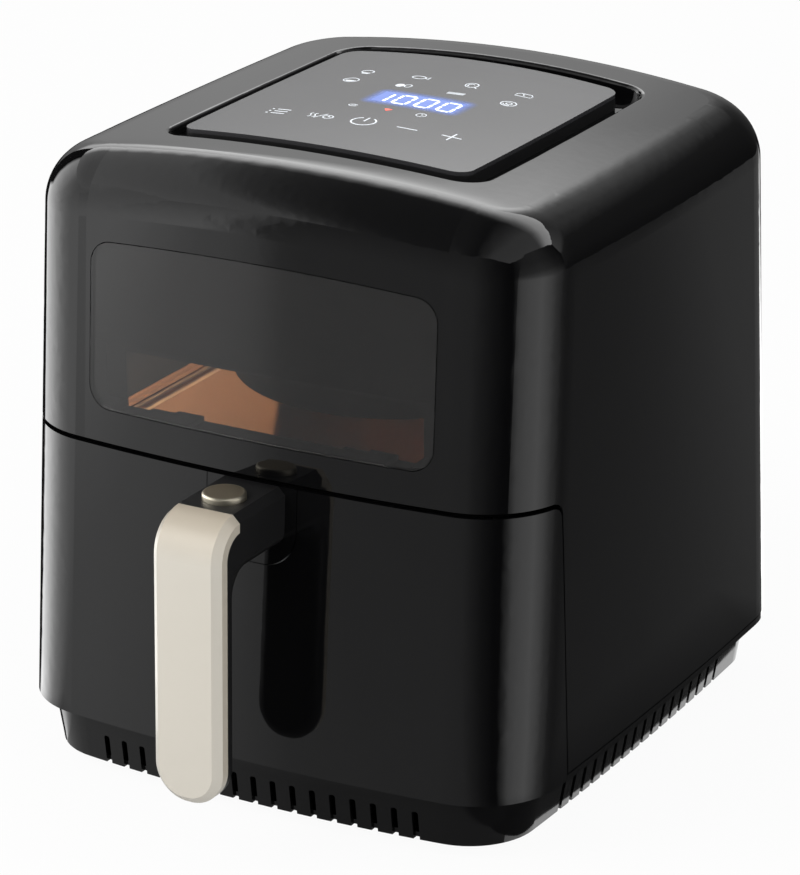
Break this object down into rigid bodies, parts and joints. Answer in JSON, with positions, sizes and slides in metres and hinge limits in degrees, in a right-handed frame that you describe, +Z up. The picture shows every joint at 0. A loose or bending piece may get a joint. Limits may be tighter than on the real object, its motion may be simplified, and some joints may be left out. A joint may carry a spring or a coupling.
{
  "type": "air fryer",
  "caption": "Countertop air fryer with a window, touch panel, fan heater and a pull-out drawer holding a fry pan on a grip handle with a release button.",
  "frame": {"origin": "middle of the whole object's footprint, on the floor under the rubber feet", "axes": "+X to the right seen from the front, -Y towards the front and the handle, +Z up"},
  "size_m": [0.2862, 0.3648, 0.3165],
  "materials": {
    "gloss_black": "polished black moulding",
    "black_plastic": "fine satin black",
    "handle_plastic": "satin charcoal",
    "champagne": "satin champagne lacquer",
    "button_metal": "satin champagne metal with a bright rim",
    "smoked_glass": "smoked, polished",
    "clear_glass": "clear, polished",
    "panel_glass": "dark grey touch glass, satin",
    "display": "dark display with glowing segments",
    "board": "green lacquer",
    "component_plastic": "moulded cases",
    "loom_sleeve": "woven black sleeve",
    "liner_enamel": "black heat-proof enamel on sheet",
    "liner_steel": "plated sheet",
    "heater_steel": "dull heat-tinted tube",
    "steel": "plated",
    "aluminium": "bare",
    "motor_paint": "grey can",
    "pan_coating": "copper-toned non-stick coating, satin",
    "seal_rubber": "silicone",
    "foot_rubber": "soft black rubber"
  },
  "bodies": {
    "housing": {"outer_shell": "gloss_black", "base_pan": "black_plastic", "base_screws": "steel", "rubber_feet": "foot_rubber", "window_glass": "smoked_glass", "window_frame": "black_plastic", "control_panel": "panel_glass", "panel_plinth": "black_plastic", "control_board": "board", "display_module": "display", "chamber_liner": "liner_enamel", "pan_rail_left": "liner_steel", "pan_rail_right": "liner_steel", "heater_coil": "heater_steel", "heater_clips": "steel", "fan_guard": "liner_enamel", "chamber_lamp": "black_plastic", "lamp_lens": "clear_glass", "temperature_sensor": "steel", "thermal_fuse": "steel", "motor_bracket": "steel", "fan_motor": "motor_paint", "motor_screws": "steel", "exhaust_duct": "liner_steel", "rear_grille": "black_plastic", "cord_gland": "foot_rubber", "power_board": "board", "power_standoffs": "black_plastic", "power_components": "component_plastic", "wiring_loom": "loom_sleeve", "drawer_sensor": "component_plastic"},
    "fan_rotor": {"fan_shaft": "steel", "hot_air_fan": "aluminium", "cooling_fan": "black_plastic", "fan_nut": "steel"},
    "drawer": {"drawer_front": "gloss_black", "drawer_inner_panel": "black_plastic", "drawer_seal": "seal_rubber", "fry_pan": "pan_coating", "pan_latch_plate": "steel", "handle_flange": "gloss_black", "handle_bracket": "steel", "handle_screws": "steel", "handle_core": "handle_plastic", "handle_cover": "champagne", "latch_pin": "steel", "drawer_magnet": "steel", "button_spring": "steel"},
    "release_button": {"button_cap": "button_metal", "button_stem": "black_plastic"},
    "latch": {"latch_lever": "steel"},
    "crisper": {"crisper_plate": "pan_coating", "crisper_bumpers": "seal_rubber"}
  },
  "joints": [
    {"name": "drawer_slide", "type": "slide", "parent": "housing", "child": "drawer", "axis": [0, -1, 0], "range_m": [0, 0.24]},
    {"name": "fan_spin", "type": "hinge", "parent": "housing", "child": "fan_rotor", "pos_m": [0, 0.01841, 0.25], "axis": [0, 0, 1], "continuous": true},
    {"name": "button_press", "type": "slide", "parent": "drawer", "child": "release_button", "axis": [0, 0, -1], "range_m": [0, 0.003], "stiffness_N_per_m": 400, "springref_m": -0.002, "deforming": ["button_spring"]},
    {"name": "latch_rock", "type": "hinge", "parent": "drawer", "child": "latch", "pos_m": [0, -0.12534, 0.1515], "axis": [1, 0, 0], "range_deg": [0, 9.2]},
    {"name": "crisper_lift", "type": "slide", "parent": "drawer", "child": "crisper", "axis": [0, 0, 1], "range_m": [0, 0.1]}
  ],
  "couplings": [
    {"joint": "latch_rock", "follows": "button_press", "rad_per_m": 53.19}
  ]
}
